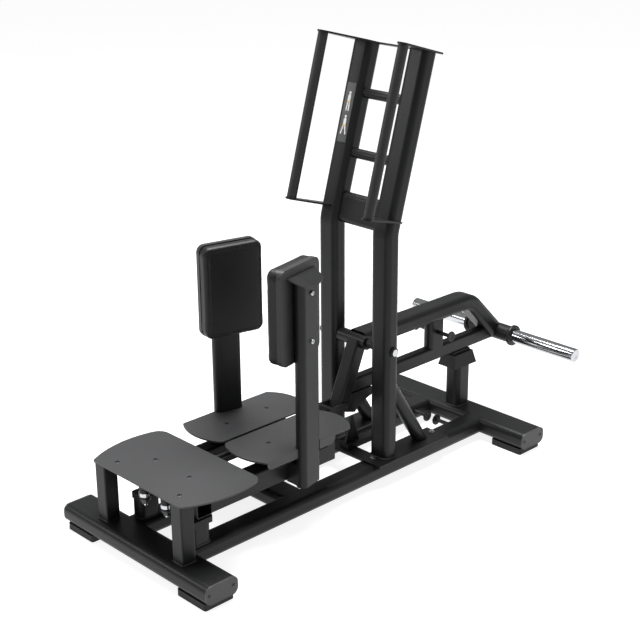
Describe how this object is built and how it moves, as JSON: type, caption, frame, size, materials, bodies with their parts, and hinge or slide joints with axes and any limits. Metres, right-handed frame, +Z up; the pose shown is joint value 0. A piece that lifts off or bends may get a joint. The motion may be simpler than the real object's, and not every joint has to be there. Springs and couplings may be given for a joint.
{
  "type": "standing hip abductor machine",
  "caption": "Plate-loaded standing hip abduction machine: step, swinging foot plates with thigh pads, handles on leaning uprights, and a rear weight lever.",
  "frame": {"origin": "floor point under the middle of the machine", "axes": "+Z up, +Y along the length from the step towards the weight horns, +X across the machine to its right"},
  "size_m": [0.768, 1.7589, 1.496],
  "materials": {
    "frame_paint": "matt black powder coat, fine texture",
    "step_finish": "matt charcoal powder coat, fine texture",
    "rubber": "moulded black rubber",
    "bright_steel": "bright plated steel",
    "fastener_steel": "zinc plated steel",
    "dark_screws": "black oxide",
    "black_plastic": "moulded black plastic",
    "board_plastic": "black moulded backing board",
    "pad_vinyl": "black upholstery vinyl over foam",
    "grip": "matt black powder coat",
    "placard_print": "blank dark label strip"
  },
  "bodies": {
    "frame": {"axle": "bright_steel", "axle_collars": "frame_paint", "base_bolts": "fastener_steel", "base_plate": "frame_paint", "bend_crossmember": "frame_paint", "centre_stop": "frame_paint", "crossbar_end_caps": "black_plastic", "end_cap_screws": "fastener_steel", "front_crossbar": "frame_paint", "handle_plates": "frame_paint", "handles": "grip", "left_upright": "frame_paint", "lever_rest_cap": "frame_paint", "lever_rest_pad": "rubber", "pivot_nuts": "bright_steel", "pivot_pins": "bright_steel", "placard": "placard_print", "rail_band_pegs": "black_plastic", "rail_cross_tube": "frame_paint", "rails": "frame_paint", "rear_crossbar": "frame_paint", "rear_post": "frame_paint", "right_upright": "frame_paint", "rubber_feet": "rubber", "rungs": "frame_paint", "slide_pads": "black_plastic", "step_bearers": "frame_paint", "step_legs": "frame_paint", "step_plate": "step_finish", "step_screws": "dark_screws", "stub_posts": "frame_paint", "upright_braces": "frame_paint"},
    "lever": {"beam_strut": "frame_paint", "down_link": "frame_paint", "horn_collars": "frame_paint", "horn_hubs": "frame_paint", "lever_band_pegs": "black_plastic", "lever_sleeve": "frame_paint", "link_knee": "frame_paint", "lower_beam": "frame_paint", "rod_pin": "bright_steel", "upper_beam": "frame_paint", "weight_horns": "bright_steel"},
    "push_rod": {"push_rod": "frame_paint"},
    "right_arm": {"right_arm_beam": "frame_paint", "right_arm_boss": "frame_paint", "right_arm_brackets": "frame_paint", "right_arm_fixings": "fastener_steel", "right_foot_plate": "step_finish", "right_pad": "pad_vinyl", "right_pad_board": "board_plastic", "right_pad_post": "frame_paint"},
    "left_arm": {"left_arm_beam": "frame_paint", "left_arm_boss": "frame_paint", "left_arm_brackets": "frame_paint", "left_arm_fixings": "fastener_steel", "left_foot_plate": "step_finish", "left_pad": "pad_vinyl", "left_pad_board": "board_plastic", "left_pad_post": "frame_paint"}
  },
  "joints": [
    {"name": "lever_swing", "type": "hinge", "parent": "frame", "child": "lever", "pos_m": [0, 0.098, 0.476], "axis": [1, 0, 0], "range_deg": [0, 4.58]},
    {"name": "rod_pivot", "type": "hinge", "parent": "lever", "child": "push_rod", "pos_m": [0, 0.00683, 0.268], "axis": [1, 0, 0], "range_deg": [-5.1, 0]},
    {"name": "right_arm_swing", "type": "hinge", "parent": "frame", "child": "right_arm", "pos_m": [0.053, -0.777, 0.21], "axis": [0, 0, -1], "range_deg": [0, 25]},
    {"name": "left_arm_swing", "type": "hinge", "parent": "frame", "child": "left_arm", "pos_m": [-0.053, -0.777, 0.21], "axis": [0, 0, 1], "range_deg": [0, 25]}
  ],
  "couplings": [
    {"joint": "rod_pivot", "follows": "lever_swing", "ratio": -1.1056},
    {"joint": "right_arm_swing", "follows": "lever_swing", "ratio": 5.457},
    {"joint": "left_arm_swing", "follows": "lever_swing", "ratio": 5.457}
  ]
}
